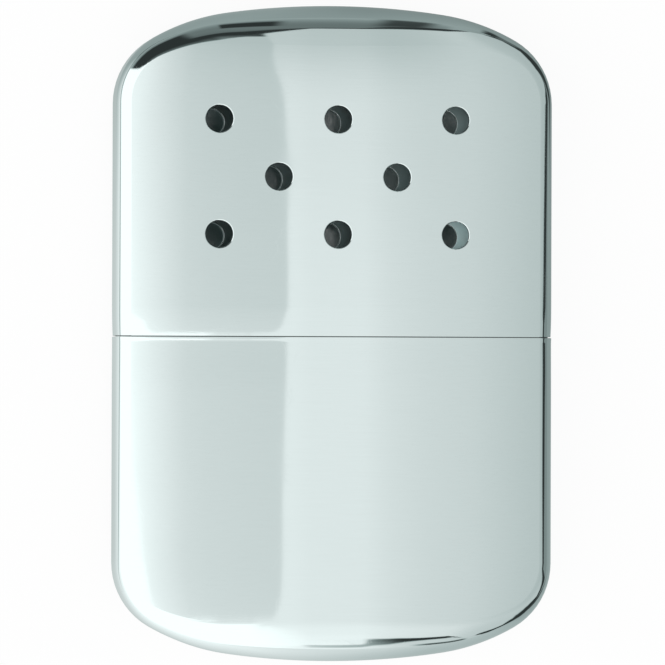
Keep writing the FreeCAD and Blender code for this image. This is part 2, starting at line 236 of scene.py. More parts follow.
def face_grid(bm, rim, crown, plan, station):
    """The front face as a grid that ends where the rounded edge begins."""
    runs = column_runs()
    rows, fixed = face_rows(rim)
    last = len(rows) - 1 + UPPER_ROWS
    columns = len(runs) - 1
    bmesh.ops.create_grid(bm, x_segments=columns, y_segments=last, size=1)
    block_top, block_foot = rows[-1], rows[fixed - 1]
    fine_edge = VENT_CELL_X * FINE_COLUMNS
    fine_top = edge_point(contact_run(fine_edge), 0)[0].y
    for vert in bm.verts:
        column = round((vert.co.x + 1) / 2 * columns)
        row = round((vert.co.y + 1) / 2 * last)
        x, top = edge_point(runs[column], 0)[0].xy
        beyond = abs(x) > fine_edge + TINY
        if row < len(rows):
            y = rows[row]
        else:
            ceiling = fine_top if beyond else top
            y = block_top + (ceiling - block_top) * (row - len(rows) + 1) / UPPER_ROWS
        if beyond and row >= fixed:
            y = block_foot + (top - block_foot) * (y - block_foot) / (fine_top - block_foot)
        share = max(y - top + CROWN_REACH, 0) / CROWN_REACH
        spot = Vector((x, y, face_height(x)))
        vert.co, vert[plan] = crowned(spot, face_normal(x), runs[column], min(share, 1), crown)
        if row == last:
            vert[station] = runs[column]
        elif column in (0, columns):
            vert[station] = math.copysign(END_RUN + STRAIGHT_TOP - y, x)
        else:
            vert[station] = math.nan


def new_ring(bm, edges):
    """Extrude edges and give back the new vertices and the new edges."""
    made = bmesh.ops.extrude_edge_only(bm, edges=edges)["geom"]
    verts = [item for item in made if isinstance(item, bmesh.types.BMVert)]
    fresh = set(verts)
    rim = [item for item in made if isinstance(item, bmesh.types.BMEdge)
           and item.verts[0] in fresh and item.verts[1] in fresh]
    return verts, rim


def round_the_edge(bm, rim, crown, plan, station):
    """Roll the face's border over into the wall, down to the middle height."""
    foot = rim + RIM_ROLL
    border = [edge for edge in bm.edges if edge.is_boundary
              and not all(abs(vert.co.y - foot) < TINY for vert in edge.verts)]
    for step in range(1, EDGE_STEPS + 1):
        verts, border = new_ring(bm, border)
        for vert in verts:
            spot, normal = edge_point(vert[station], step / EDGE_STEPS)
            share = 1 - step / EDGE_STEPS
            vert.co, vert[plan] = crowned(spot, normal, vert[station], share, crown)
    for step in range(1, WALL_STEPS + 1):
        verts, border = new_ring(bm, border)
        for vert in verts:
            vert.co, vert[plan] = wall_point(vert[station], step / WALL_STEPS)


def ring_about(bm, edges, x, y):
    """The next ring round a vent at x, y: each vertex with its way out, and the new edges."""
    verts, edges = new_ring(bm, edges)
    return [(vert, Vector((vert.co.x - x, vert.co.y - y)).normalized()) for vert in verts], edges


def cut_patch(bm, x, y, across, along, level, near):
    """Delete the faces in a patch about x, y and within near of level. Gives the hole's edges."""
    def inside(place, spare=0.0):
        return (abs(place.x - x) < across + spare and abs(place.y - y) < along + spare
                and abs(place.z - level) < near)
    patch = [face for face in bm.faces if inside(face.calc_center_median())]
    bmesh.ops.delete(bm, geom=patch, context="FACES")
    return [edge for edge in bm.edges if edge.is_boundary
            and all(inside(vert.co, CLOSE) for vert in edge.verts)]


def open_vents(bm, plan):
    """Cut the vents out of the front face, each in a block of cells, with a rolled edge."""
    for x, y in VENTS:
        hole = cut_patch(bm, x, y, VENT_BLOCK * VENT_CELL_X, VENT_BLOCK * VENT_CELL_Y,
                         HALF_THICKNESS, FALL)
        outer = VENT_RADIUS + VENT_ROLL
        for step in range(1, RING_STEPS + 1):
            ring, hole = ring_about(bm, hole, x, y)
            for vert, way in ring:
                away = Vector((vert.co.x - x, vert.co.y - y))
                place = away.lerp(outer * way, 1 / (RING_STEPS + 1 - step))
                vert.co = (x + place.x, y + place.y, face_height(x + place.x))
                vert[plan] = face_normal(vert.co.x)
        for step in range(1, ROLL_STEPS + 1):
            turn = math.pi / 2 * step / ROLL_STEPS
            ring, hole = ring_about(bm, hole, x, y)
            for vert, way in ring:
                reach = outer - VENT_ROLL * math.sin(turn)
                spot = (x + reach * way.x, y + reach * way.y)
                inward = Vector((-way.x, -way.y, 0))
                top = face_normal(spot[0])
                vert[plan] = (top * math.cos(turn) + inward * math.sin(turn)).normalized()
                vert.co = (*spot, face_height(spot[0]) - VENT_ROLL * (1 - math.cos(turn)))


def drawn_in(height):
    """How far the lid's wall has come in at a height above its rim, and how fast that changes."""
    reach, depth = LID_MOUTH
    share = max(reach - height, 0) / reach
    return depth * share**2, -2 * depth * share / reach


def dipped(height):
    """The same for the tank, whose wall stands highest right at its mouth."""
    down, back, depth = TANK_MOUTH
    if height < down:
        turn = math.pi / 2 * height / down
        return depth * math.sin(turn) ** 2, depth * math.pi / 2 / down * math.sin(2 * turn)
    turn = math.pi / 2 * min(height - down, back) / back
    return depth * math.cos(turn) ** 2, -depth * math.pi / 2 / back * math.sin(2 * turn)


def work_the_mouth(bm, rim, plan, form):
    """Move the wall inwards near the open end, and tilt its normals to match."""
    for vert in bm.verts:
        drop, change = form(vert.co.y - rim - RIM_ROLL)
        vert.co -= drop * vert[plan]
        vert[plan] = (vert[plan] + Vector((0, change, 0))).normalized()


def face_out(bm):
    bmesh.ops.recalc_face_normals(bm, faces=bm.faces[:])


def mirror_through_middle(bm):
    """Add the back half, and join the two at the middle height."""
    bmesh.ops.mirror(bm, geom=bm.verts[:] + bm.edges[:] + bm.faces[:],
                     matrix=Matrix.Identity(4), merge_dist=MIRROR_MERGE, axis="Z")


def drawn_shell(rim, vented, crown, form):
    """A thin drawn cup, closed at +Y: outer skin, rolled rims, and an inner skin a wall inside."""
    bm = bmesh.new()
    plan = bm.verts.layers.float_vector.new("plan")
    side = bm.verts.layers.float_vector.new("side")
    station = bm.verts.layers.float.new("station")
    face_grid(bm, rim, crown, plan, station)
    round_the_edge(bm, rim, crown, plan, station)
    work_the_mouth(bm, rim, plan, form)
    bm.normal_update()
    skin = bm.faces.layers.int.new("skin")
    if vented:
        open_vents(bm, plan)
    for face in bm.faces:
        centre = face.calc_center_median()
        on_roll = vented and centre.z > 0 and any(
            math.hypot(centre.x - x, centre.y - y) < VENT_RADIUS + VENT_ROLL for x, y in VENTS)
        face[skin] = 0 if on_roll else 1
    mirror_through_middle(bm)
    for vert in bm.verts:
        if vert.co.z < -TINY:
            vert[plan] = Vector((vert[plan].x, vert[plan].y, -vert[plan].z))
    face_out(bm)
    top = max(bm.faces, key=lambda face: face.calc_center_median().z)
    if top.normal.z < 0:
        bmesh.ops.reverse_faces(bm, faces=bm.faces[:])
    inside = [face for face in bm.faces if face[skin]]
    copied = bmesh.ops.duplicate(bm, geom=inside)["geom"]
    lining = [item for item in copied if isinstance(item, bmesh.types.BMFace)]
    for vert in {vert for face in lining for vert in face.verts}:
        vert.co -= WALL * vert[plan]
        vert[plan] = -vert[plan]
    bmesh.ops.reverse_faces(bm, faces=lining)
    for face in lining:
        face.material_index = 1
    lining_verts = {vert for face in lining for vert in face.verts}
    close_rim(bm, rim, plan, side, lining_verts)
    if vented:
        close_vents(bm, plan, lining_verts)
    bmesh.ops.remove_doubles(bm, verts=[vert for vert in bm.verts if vert.is_boundary], dist=CLOSE)
    return bm, plan


def close_rim(bm, rim, plan, side, lining_verts):
    """Roll the outer edge of the open rim, and carry it flat across to the lining."""
    foot = rim + RIM_ROLL
    edges = [edge for edge in bm.edges if edge.is_boundary
             and all(abs(vert.co.y - foot) < TINY and vert not in lining_verts
                     for vert in edge.verts)]
    for vert in {vert for edge in edges for vert in edge.verts}:
        vert[side] = Vector((vert[plan].x, 0, vert[plan].z)).normalized()
    reached = 0
    turns = [math.pi / 2 * step / ROLL_STEPS for step in range(1, ROLL_STEPS + 1)]
    for inset, drop, outward, down in (
            *[(RIM_ROLL * (1 - math.cos(turn)), RIM_ROLL * math.sin(turn), math.cos(turn),
               math.sin(turn)) for turn in turns],
            (WALL - SKIN_GAP, RIM_ROLL, 0, 1), (WALL, 0, -1, 0)):
        verts, edges = new_ring(bm, edges)
        for vert in verts:
            vert.co -= vert[side] * (inset - reached)
            vert.co.y = foot - drop
            vert[plan] = vert[side] * outward + Vector((0, -down, 0))
        reached = inset


def close_vents(bm, plan, lining_verts):
    """Carry each vent's rolled edge down through the wall to the lining, front and back."""
    outer = VENT_RADIUS + VENT_ROLL
    for x, y, side in [(*vent, side) for vent in VENTS for side in (1, -1)]:
        edges = [edge for edge in bm.edges
                 if edge.is_boundary and edge.verts[0] not in lining_verts
                 and all(math.hypot(vert.co.x - x, vert.co.y - y) < outer
                         and vert.co.z * side > 0 for vert in edge.verts)]
        ring, edges = ring_about(bm, edges, x, y)
        for vert, way in ring:
            vert.co = (x + VENT_RADIUS * way.x, y + VENT_RADIUS * way.y,
                       side * (face_height(vert.co.x) - WALL + SKIN_GAP))
            vert[plan] = Vector((-way.x, -way.y, 0))
        ring, edges = ring_about(bm, edges, x, y)
        for vert, way in ring:
            at = Vector((x + outer * way.x, y + outer * way.y, 0))
            normal = face_normal(at.x)
            normal.z *= side
            at.z = side * face_height(at.x)
            vert.co = at - WALL * normal
            vert[plan] = -normal


def into_frame(bm):
    """From millimetres about the middle of the thickness to metres above the back face."""
    bmesh.ops.translate(bm, verts=bm.verts[:], vec=(0, 0, HALF_THICKNESS))
    bmesh.ops.scale(bm, verts=bm.verts[:], vec=(MM, MM, MM))


def finish_shell(name, bm, plan, toward_tank, body, node, slots):
    """Turn a shell for its end of the case, put it in the frame and give it its finishes."""
    if toward_tank:
        for vert in bm.verts:
            vert.co.y = -vert.co.y
            vert[plan] = Vector((vert[plan].x, -vert[plan].y, vert[plan].z))
        bmesh.ops.reverse_faces(bm, faces=bm.faces[:])
    into_frame(bm)
    normals = [vert[plan].copy() for vert in bm.verts]
    for layers, label in ((bm.verts.layers.float_vector, "plan"),
                          (bm.verts.layers.float_vector, "side"),
                          (bm.verts.layers.float, "station"), (bm.faces.layers.int, "skin")):
        layers.remove(layers[label])
    piece = keep(name, bm, slots)
    piece.data.normals_split_custom_set_from_vertices(normals)
    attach(piece, body)
    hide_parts(node)


def keep(name, bm, finishes):
    """Make an object of a finished bmesh, smooth all over."""
    for face in bm.faces:
        face.smooth = True
    mesh = bpy.data.meshes.new(name)
    bm.to_mesh(mesh)
    bm.free()
    for finish in finishes:
        mesh.materials.append(finish)
    piece = bpy.data.objects.new(name, mesh)
    bpy.context.scene.collection.objects.link(piece)
    return piece


# ---- Rings that grow into thin pieces: ovals, and the case's section ----

OVAL_FLAT = 10.5  # half the flat of every oval, whose offsets all share their end centres
SLOT_SPOTS = (-5.2, 0.0, 5.2)
SLOT_LEVEL = 8.5
SLOT_FLAT = 1.25
SLOT_RADIUS = 0.45
SLOT_ROLL = 0.06
SLOT_BLOCK = (2.0, 0.7)  # half the patch that each slot is cut from
FLATS = [0, 0.5, 1, 1.5, 2, 2.6, 3.2, 3.7, 4.2, 4.7, 5.2, 5.7, 6.2, 6.7, 7.2, 8.8, OVAL_FLAT]
SLOT_ROWS = [SLOT_LEVEL + SLOT_BLOCK[1] * step for step in (-1, -0.5, 0, 0.5, 1)]
FLAT_CELLS = len(FLATS) - 1
BEND_CELLS = 12
QUARTER = FLAT_CELLS + BEND_CELLS
SIDE_CELLS = 8


def quarter_place(number):
    """How far ring vertex number is into its quarter, and which way that quarter faces."""
    turn, step = divmod(number, QUARTER)
    if turn % 2:
        step = QUARTER - step
    return step, 1 if turn < 2 else -1, 1 if turn in (0, 3) else -1


def oval(number, radius):
    """A ring's vertex on the oval with that end radius."""
    step, way_x, way_z = quarter_place(number)
    if step <= FLAT_CELLS:
        x, z = FLATS[step], radius
    else:
        turn = math.pi / 2 * (step - FLAT_CELLS) / BEND_CELLS
        x, z = OVAL_FLAT + radius * math.sin(turn), radius * math.cos(turn)
    return Vector((way_x * x, 0, way_z * z))


def section(number, inset):
    """A ring's vertex on the case's section, inset all round."""
    step, way_x, way_z = quarter_place(number)
    edge_end = FLAT_CELLS + SIDE_CELLS
    if step <= FLAT_CELLS:
        x = edge_point(END_RUN, 0)[0].x * step / FLAT_CELLS
        point, normal = Vector((x, 0, face_height(x))), face_normal(x)
    elif step <= edge_end:
        point, normal = edge_point(END_RUN, (step - FLAT_CELLS) / SIDE_CELLS)
    else:
        point, normal = wall_point(END_RUN, (step - edge_end) / (QUARTER - edge_end))
    place = point - inset * normal
    return Vector((way_x * place.x, 0, way_z * place.z))


def softened(path, steps=5):
    """A path of (offset, level, radius) corners with its corners rounded, as (offset, level)."""
    points = []
    for number, (offset, level, radius) in enumerate(path):
        corner = Vector((offset, level))
        if not radius:
            points.append(tuple(corner))
            continue
        before = Vector(path[number - 1][:2]) - corner
        after = Vector(path[(number + 1) % len(path)][:2]) - corner
        half = before.angle(after) / 2
        centre = corner + (before.normalized() + after.normalized()).normalized() * (
            radius / math.sin(half))
        reach = radius / math.tan(half)
        start = (corner + before.normalized() * reach - centre).normalized()
        end = (corner + after.normalized() * reach - centre).normalized()
        points += [tuple(centre + radius * start.slerp(end, step / steps))
                   for step in range(steps + 1)]
    return points


def through(rounds):
    """A skin through a ring for each (shape, offset, level)."""
    bm = bmesh.new()
    number = bm.verts.layers.int.new("number")
    ring = bmesh.ops.create_circle(bm, segments=4 * QUARTER, radius=1)["verts"]
    for count, vert in enumerate(ring):
        vert[number] = count
    edges = bm.edges[:]
    for count, (shape, offset, level) in enumerate(rounds):
        if count:
            ring, edges = new_ring(bm, edges)
        for vert in ring:
            vert.co = shape(vert[number], offset) + Vector((0, level, 0))
    return bm


def swept(rounds):
    """The same, closed on itself."""
    bm = through(rounds + rounds[:1])
    bmesh.ops.remove_doubles(bm, verts=bm.verts[:], dist=RING_MERGE)
    face_out(bm)
    return bm


def ovals(path):
    """Rounds of ovals along a path of corners."""
    return [(oval, offset, level) for offset, level in softened(path)]


def slot_outline(place, spot, grow):
    """The nearest way out to a slot's outline, grown all round."""
    x, y = place.x - spot, place.y - SLOT_LEVEL
    middle = max(-SLOT_FLAT, min(SLOT_FLAT, x))
    way = Vector((x - middle, y)).normalized() * (SLOT_RADIUS + grow)
    return spot + middle + way.x, SLOT_LEVEL + way.y


def cut_slots(bm, outer, inner):
    """Air slots with rolled edges through both flats, from one radius to the other."""
    for spot in SLOT_SPOTS:
        for side in (1, -1):
            for radius, depth in ((outer, -SLOT_ROLL), (inner, SLOT_ROLL)):
                hole = cut_patch(bm, spot, SLOT_LEVEL, *SLOT_BLOCK, side * radius, CLOSE)
                for grow, sink in ((SLOT_ROLL, 0), (SLOT_ROLL * 0.3, 0.3 * depth), (0, depth)):
                    verts, hole = new_ring(bm, hole)
                    for vert in verts:
                        x, y = slot_outline(vert.co, spot, grow)
                        vert.co = (x, y, side * (radius + sink))
                verts, hole = new_ring(bm, hole)
                for vert in verts:
                    vert.co.z = side * (outer + inner) / 2
    bmesh.ops.remove_doubles(bm, verts=bm.verts[:], dist=CLOSE)
    face_out(bm)


def finish_piece(name, bm, body, node, finish, crease=40):
    """Put a piece in the frame, crease its sharp edges, join it to its body and hide the part it
    stands for.
    """
    into_frame(bm)
    for edge in bm.edges:
        edge.smooth = edge.calc_face_angle(math.pi) < math.radians(crease)
    piece = keep(name, bm, [finish])
    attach(piece, body)
    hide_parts(node)
    return piece


# ---- Fibre packed into the tank, the neck and the burner ----

LIFE = 0.01  # one mm of a piece while it is swollen: ten times life size, where it is steadier
SWELL_PRESSURE = 4
SWELL_FRAMES = 20
HALF_ROUND = 0.3  # the share of a block's edge, in and up, where its rounding is cut once more
FINE_LUMPS = 2.7  # how much smaller the second lumps in loose fibre are than the first


def close_ends(bm):
    """Put flat ends on a form."""
    bmesh.ops.holes_fill(bm, edges=[edge for edge in bm.edges if edge.is_boundary], sides=0)
    bmesh.ops.triangulate(bm, faces=[face for face in bm.faces if len(face.verts) > 4])
    face_out(bm)


def block(shape, low, high, offset, inward, edge):
    """A block from low to high with rounded edges. inward is the way its offset shrinks it."""
    part = HALF_ROUND * edge
    bm = through([(shape, offset + inward * back, level) for back, level in (
        (edge, low), (part, low + part), (0, low + edge), (0, (low + high) / 2),
        (0, high - edge), (part, high - part), (edge, high))])
    close_ends(bm)
    return bm


def closed_end(low, inset):
    """The form of the tank's closed end from low downwards, inset all round."""
    bm = bmesh.new()
    plan = bm.verts.layers.float_vector.new("plan")
    station = bm.verts.layers.float.new("station")
    face_grid(bm, low - RIM_ROLL, TANK_CROWN, plan, station)
    round_the_edge(bm, low - RIM_ROLL, TANK_CROWN, plan, station)
    for vert in bm.verts:
        vert.co -= inset * vert[plan]
        vert.co.z = max(vert.co.z, 0)
    mirror_through_middle(bm)
    bmesh.ops.scale(bm, verts=bm.verts[:], vec=(1, -1, 1))
    close_ends(bm)
    return bm


def swollen(bm, mesh_size, room):
    """An even skin over a form, pushed out from inside. No point moves more than room, in mm."""
    bmesh.ops.scale(bm, verts=bm.verts[:], vec=(LIFE, LIFE, LIFE))
    mesh = bpy.data.meshes.new("form")
    bm.to_mesh(mesh)
    bm.free()
    item = bpy.data.objects.new("form", mesh)
    scene = bpy.context.scene
    scene.collection.objects.link(item)
    even = item.modifiers.new("even", "REMESH")
    even.mode, even.voxel_size = "VOXEL", mesh_size * LIFE
    graph = bpy.context.evaluated_depsgraph_get()
    skin = bpy.data.meshes.new_from_object(item.evaluated_get(graph))
    item.modifiers.clear()
    item.data = skin
    start = [vert.co.copy() for vert in skin.vertices]
    end = start
    cloth = item.modifiers.new("swell", "CLOTH")
    cloth.settings.use_pressure = True
    cloth.settings.uniform_pressure_force = SWELL_PRESSURE
    cloth.settings.effector_weights.gravity = 0
    for frame_number in range(1, SWELL_FRAMES + 1):
        scene.frame_set(frame_number)
    graph = bpy.context.evaluated_depsgraph_get()
    end = [vert.co.copy() for vert in item.evaluated_get(graph).data.vertices]
    item.modifiers.clear()
    scene.frame_set(1)
    made = bmesh.new()
    made.from_mesh(skin)
    made.verts.ensure_lookup_table()
    for vert, before, after in zip(made.verts, start, end):
        move = after - before
        if move.length > room * LIFE:
            move = move.normalized() * room * LIFE
        vert.co = (before + move) / LIFE
    bpy.data.objects.remove(item)
    made.normal_update()
    return made


def fibre_piece(name, bm, mesh_size, room, ragged, clump, body, node, finish):
    """Swell a form, pull its surface in unevenly as loose fibre lies, and put it in its place."""
    made = swollen(bm, mesh_size, room)
    for vert in made.verts:
        lump = noise.noise(vert.co / clump) + 0.5 * noise.noise(vert.co / clump * FINE_LUMPS)
        vert.co -= vert.normal * ragged * min(max(0.5 + 0.6 * lump, 0), 1)
    piece = finish_piece(name, made, body, node, finish, crease=180)
    subdivide = piece.modifiers.new("finer", "SUBSURF")
    subdivide.levels = subdivide.render_levels = 1
    return piece


# ---- Finishes ----

GREENISH = (0.86, 1.0, 0.985)
WHITE = (1.0, 1.0, 1.0)
GREENISH_AT = (0.25, 1.3)  # the brightness up to which light is greenish, and from which white


class Wiring:
    """Adds small nodes to a node tree and joins them up."""

    def __init__(self, tree):
        self.nodes, self.links = tree.nodes, tree.links

    def add(self, kind, *values, **settings):
        node = self.nodes.new(kind)
        for key, value in settings.items():
            setattr(node, key, value)
        for socket, value in enumerate(values):
            self.feed(node, socket, value)
        return node

    def feed(self, node, socket, value):
        if isinstance(value, bpy.types.NodeSocket):
            self.links.new(value, node.inputs[socket])
        elif value is not None:
            node.inputs[socket].default_value = value

    def maths(self, operation, *values, clamp=False):
        return self.add("ShaderNodeMath", *values, operation=operation, use_clamp=clamp).outputs[0]

    def step(self, value, low, high):
        """0 at low and 1 at high, smooth between. Low may be the larger."""
        node = self.add("ShaderNodeMapRange", value, low, high, 0.0, 1.0,
                        interpolation_type="SMOOTHSTEP")
        return node.outputs[0]

    def plus(self, first, second):
        return self.maths("ADD", first, second)

    def minus(self, first, second):
        return self.maths("SUBTRACT", first, second)

    def times(self, *values):
        total = values[0]
        for value in values[1:]:
            total = self.maths("MULTIPLY", total, value)
        return total

    def per(self, first, second):
        return self.maths("DIVIDE", first, second)

    def most(self, first, second):
        return self.maths("MAXIMUM", first, second)

    def size(self, value):
        return self.maths("ABSOLUTE", value)

    def reach(self, x, y):
        return self.maths("SQRT", self.plus(self.times(x, x), self.times(y, y)))

    def band(self, value, low, full, still, high):
        """0 up to low, 1 from full to still and 0 from high, smooth between."""
        return self.times(self.step(value, low, full), self.step(value, high, still))

    def over(self, under, top, mask):
        """top laid over under where mask is 1."""
        node = self.add("ShaderNodeMix", mask, data_type="FLOAT")
        self.feed(node, 2, under)
        self.feed(node, 3, top)
        return node.outputs[0]

    def blend(self, under, top, mask):
        """A colour mixed by a mask."""
        node = self.add("ShaderNodeMix", mask, data_type="RGBA")
        for socket, colour in ((6, under), (7, top)):
            self.feed(node, socket, (*colour, 1) if isinstance(colour, tuple) else colour)
        return node.outputs[2]

    def tinted(self, light):
        """The colour of the surroundings, a little green where they are dim."""
        return self.blend(GREENISH, WHITE, self.step(light, *GREENISH_AT))

    def noise(self, place, scale, detail, rough, output=0):
        return self.add("ShaderNodeTexNoise", place, None, scale, detail, rough).outputs[output]

    def vector(self, operation, first, second):
        return self.add("ShaderNodeVectorMath", first, second, operation=operation).outputs[0]

    def spun(self, place, turns):
        node = self.add("ShaderNodeVectorRotate", place, rotation_type="EULER_XYZ")
        node.inputs["Rotation"].default_value = turns
        return node.outputs[0]

    def level(self, value, stops):
        """A number read off a line through (place, number) pairs."""
        low, high = stops[0][0], stops[-1][0]
        top = max(number for _, number in stops)
        share = self.add("ShaderNodeMapRange", value, low, high, 0.0, 1.0).outputs[0]
        node = self.add("ShaderNodeValToRGB", share)
        band = node.color_ramp
        while len(band.elements) < len(stops):
            band.elements.new(0.5)
        for element, (at, number) in zip(band.elements, stops):
            element.position = (at - low) / (high - low)
            element.color = (*(number / top,) * 3, 1)
        grey = self.add("ShaderNodeSeparateColor", node.outputs["Color"]).outputs[0]
        return self.times(grey, top)

    def to_mm(self, place, turn=0.0):
        """A place in metres, in mm, turned about Z."""
        mapping = self.add("ShaderNodeMapping", place)
        mapping.inputs["Scale"].default_value = (1 / MM, 1 / MM, 1 / MM)
        mapping.inputs["Rotation"].default_value = (0, 0, turn)
        return mapping.outputs[0]

    def across_and_along(self, place):
        """How far a place in metres lies across and along the case, in mm."""
        return self.add("ShaderNodeSeparateXYZ", self.to_mm(place)).outputs[:2]


def group(name, inputs, outputs):
    """An empty effect: its tree, its wiring, what comes in and what goes out."""
    tree = bpy.data.node_groups.new(name, "ShaderNodeTree")
    for label, value in inputs.items():
        kind = "NodeSocketVector" if value is None else "NodeSocketFloat"
        socket = tree.interface.new_socket(label, in_out="INPUT", socket_type=kind)
        if value is not None:
            socket.default_value = value
    for label in outputs:
        tree.interface.new_socket(label, in_out="OUTPUT", socket_type="NodeSocketFloat")
    w = Wiring(tree)
    inside = w.add("NodeGroupInput").outputs
    out = w.add("NodeGroupOutput")
    return tree, w, inside, out


def drawn_unevenness():
    """The slow swell left in drawn sheet: Height in mm, Depth deep, Span mm between crests."""
    tree, w, inside, out = group("drawn_unevenness", {"Place": None, "Span": 14.0, "Depth": 0.01},
                                 ["Height"])
    scale = w.per(1.0, inside["Span"])
    crests = w.noise(inside["Place"], scale, 1.0, 0.4)
    w.feed(out, 0, w.times(w.minus(crests, 0.5), inside["Depth"]))
    return tree


def grain_lines():
    """Fine lines of polishing or brushing along Place's X: Lines from 0 to 1."""
    tree, w, inside, out = group("grain_lines", {"Place": None, "Fineness": 5.0, "Length": 8.0},
                                 ["Lines"])
    split = w.add("ShaderNodeSeparateXYZ", inside["Place"]).outputs
    along = w.per(split[0], inside["Length"])
    across = w.times(split[1], inside["Fineness"])
    deep = w.times(split[2], inside["Fineness"])
    spot = w.add("ShaderNodeCombineXYZ", along, across, deep).outputs[0]
    w.feed(out, 0, w.noise(spot, 1.0, 3.0, 0.65))
    return tree


def handling_marks():
    """Hairline scratches and faint smears from handling, each a mask from 0 to 1."""
    tree, w, inside, out = group("handling_marks", {"Place": None, "Spread": 0.35},
                                 ["Hairlines", "Smears"])
    bent = w.noise(inside["Place"], 0.12, 2.0, 0.5, "Color")
    shift = w.vector("MULTIPLY", bent, (9.0, 9.0, 9.0))
    hairs = None
    for turn, size in ((0.4, 0.16), (1.3, 0.22), (2.4, 0.19)):
        moved = w.vector("ADD", w.spun(inside["Place"], (0, 0, turn)), shift)
        squeezed = w.vector("MULTIPLY", moved, (size, size * 0.04, size))
        cells = w.add("ShaderNodeTexVoronoi", feature="DISTANCE_TO_EDGE")
        w.feed(cells, 0, squeezed)
        cells.inputs["Scale"].default_value = 1.0
        line = w.step(cells.outputs["Distance"], 0.006, 0.0)
        broken = w.noise(inside["Place"], 0.09 + turn * 0.05, 1.0, 0.5)
        line = w.times(line, w.step(broken, 0.52, 0.66))
        hairs = line if hairs is None else w.most(hairs, line)
    w.feed(out, 0, hairs)
    smear = w.noise(inside["Place"], 0.07, 4.0, 0.6)
    low = w.minus(0.8, inside["Spread"])
    w.feed(out, 1, w.step(smear, low, 0.8))
    return tree


def matted_fibres():
    """A mat of fibres about Thickness mm thick: Height, and Shade, which is low where shade is
    painted between the strands and lumps, from 0 to 1.
    """
    tree, w, inside, out = group("matted_fibres", {"Place": None, "Thickness": 0.08, "Curl": 0.6},
                                 ["Height", "Shade"])
    bent = w.noise(inside["Place"], 0.9, 2.0, 0.5, "Color")
    shift = w.add("ShaderNodeVectorMath", bent, operation="SCALE")
    w.feed(shift, "Scale", w.times(inside["Curl"], 3.0))
    moved = w.vector("ADD", inside["Place"], shift.outputs[0])
    scale = w.per(0.35, inside["Thickness"])
    top = None
    for turn_x, turn_y, stretch in ((0.2, 0.5, 0.10), (1.1, -0.6, 0.13), (2.2, 0.9, 0.09),
                                    (2.9, -0.2, 0.12)):
        spun = w.spun(moved, (turn_x, turn_y, turn_x + turn_y))
        squeezed = w.vector("MULTIPLY", spun, (stretch, 1.0, 1.0))
        strand = w.noise(squeezed, scale, 1.0, 0.4)
        off = w.times(w.size(w.minus(strand, 0.5)), 9.0)
        ridge = w.maths("SUBTRACT", 1.0, off, clamp=True)
        top = ridge if top is None else w.most(top, ridge)
    lump = w.noise(inside["Place"], 0.8, 3.0, 0.6)
    w.feed(out, 0, w.plus(w.times(top, 0.45), w.times(lump, 0.55)))
    w.feed(out, 1, w.plus(w.times(top, 0.6), w.times(lump, 0.4)))
    return tree


UNEVENNESS = drawn_unevenness()
GRAIN = grain_lines()
MARKS = handling_marks()
FIBRES = matted_fibres()


class Finish(Wiring):
    """A material under way: its shader, and its place on the piece in mm."""

    def __init__(self, name, turned=False):
        self.material = bpy.data.materials.new(name)
        self.material.use_nodes = True
        super().__init__(self.material.node_tree)
        self.shader = self.nodes["Principled BSDF"]
        self.coordinates = self.add("ShaderNodeTexCoord").outputs["Object"]
        self.place = self.to_mm(self.coordinates, math.pi / 2 if turned else 0.0)

    def effect(self, tree, **values):
        node = self.add("ShaderNodeGroup", node_tree=tree)
        self.feed(node, "Place", self.place)
        for label, value in values.items():
            self.feed(node, label, value)
        return node.outputs

    def set(self, **values):
        for label, value in values.items():
            self.feed(self.shader, label.replace("_", " "), value)

    def raise_surface(self, height):
        """Tilt the shading by a height in mm."""
        bump = self.add("ShaderNodeBump")
        bump.inputs["Strength"].default_value = 1
        bump.inputs["Distance"].default_value = MM
        self.feed(bump, "Height", height)
        self.feed(self.shader, "Normal", bump.outputs[0])


def metal(name, colour, roughness, dull, swell=0.01, span=14.0, lines=0.0006, fineness=5.0,
          length=8.0, turned=False, smear=0.04, stains_and_painted_light=()):
    """Sheet metal: roughness from clean to dull, its drawn swell, its grain and its wear, and
    stains and painted light and shade laid over its colour.
    """
    f = Finish(name, turned)
    grain = f.effect(GRAIN, Fineness=fineness, Length=length)["Lines"]
    marks = f.effect(MARKS)
    uneven = f.effect(UNEVENNESS, Span=span, Depth=swell)["Height"]
    streak = f.minus(grain, 0.5)
    rough = f.plus(roughness, f.times(streak, (dull - roughness) * 0.7))
    rough = f.over(rough, dull, f.times(marks["Hairlines"], 0.4))
    rough = f.plus(rough, f.times(marks["Smears"], smear))
    darker = tuple(part * 0.93 for part in colour)
    worn = f.maths("MULTIPLY", f.plus(streak, 0.35), 0.6, clamp=True)
    shade = f.blend(colour, darker, worn)
    # real stains and painted light and shade alike are laid on here, each a colour over a mask
    for stain_and_light_colour, where, most in stains_and_painted_light:
        shade = f.blend(shade, stain_and_light_colour, f.times(where(f), most))
    f.set(Metallic=1.0, Base_Color=shade, Roughness=rough)
    height = f.plus(uneven, f.times(streak, lines))
    height = f.minus(height, f.times(marks["Hairlines"], lines * 0.5))
    f.raise_surface(height)
    return f.material


def near_flame(f):
    """Where the burner runs hot: round its window, unevenly."""
    along = f.add("ShaderNodeSeparateXYZ", f.place).outputs[1]
    patchy = f.noise(f.place, 0.35, 3.0, 0.6)
    return f.step(f.plus(along, f.times(patchy, 3.0)), 10.5, 13.8)


def seam_painted_shade(f):
    """Painted shade on the collar in the gap where the lid meets the tank."""
    return f.step(f.size(f.plus(f.across_and_along(f.coordinates)[1], 0.55)), 0.4, 0.15)


def painted_light_patch(f):
    """The bright place in the lid: painted light, where light through the vents falls on the
    lining.
    """
    across, along = f.across_and_along(f.coordinates)
    off = f.size(f.minus(along, 14.0))
    return f.times(f.step(across, 12.0, 17.0), f.step(off, 12.0, 7.0))


def patches(f):
    """Uneven discoloured patches."""
    return f.step(f.noise(f.place, 0.3, 4.0, 0.65), 0.42, 0.7)


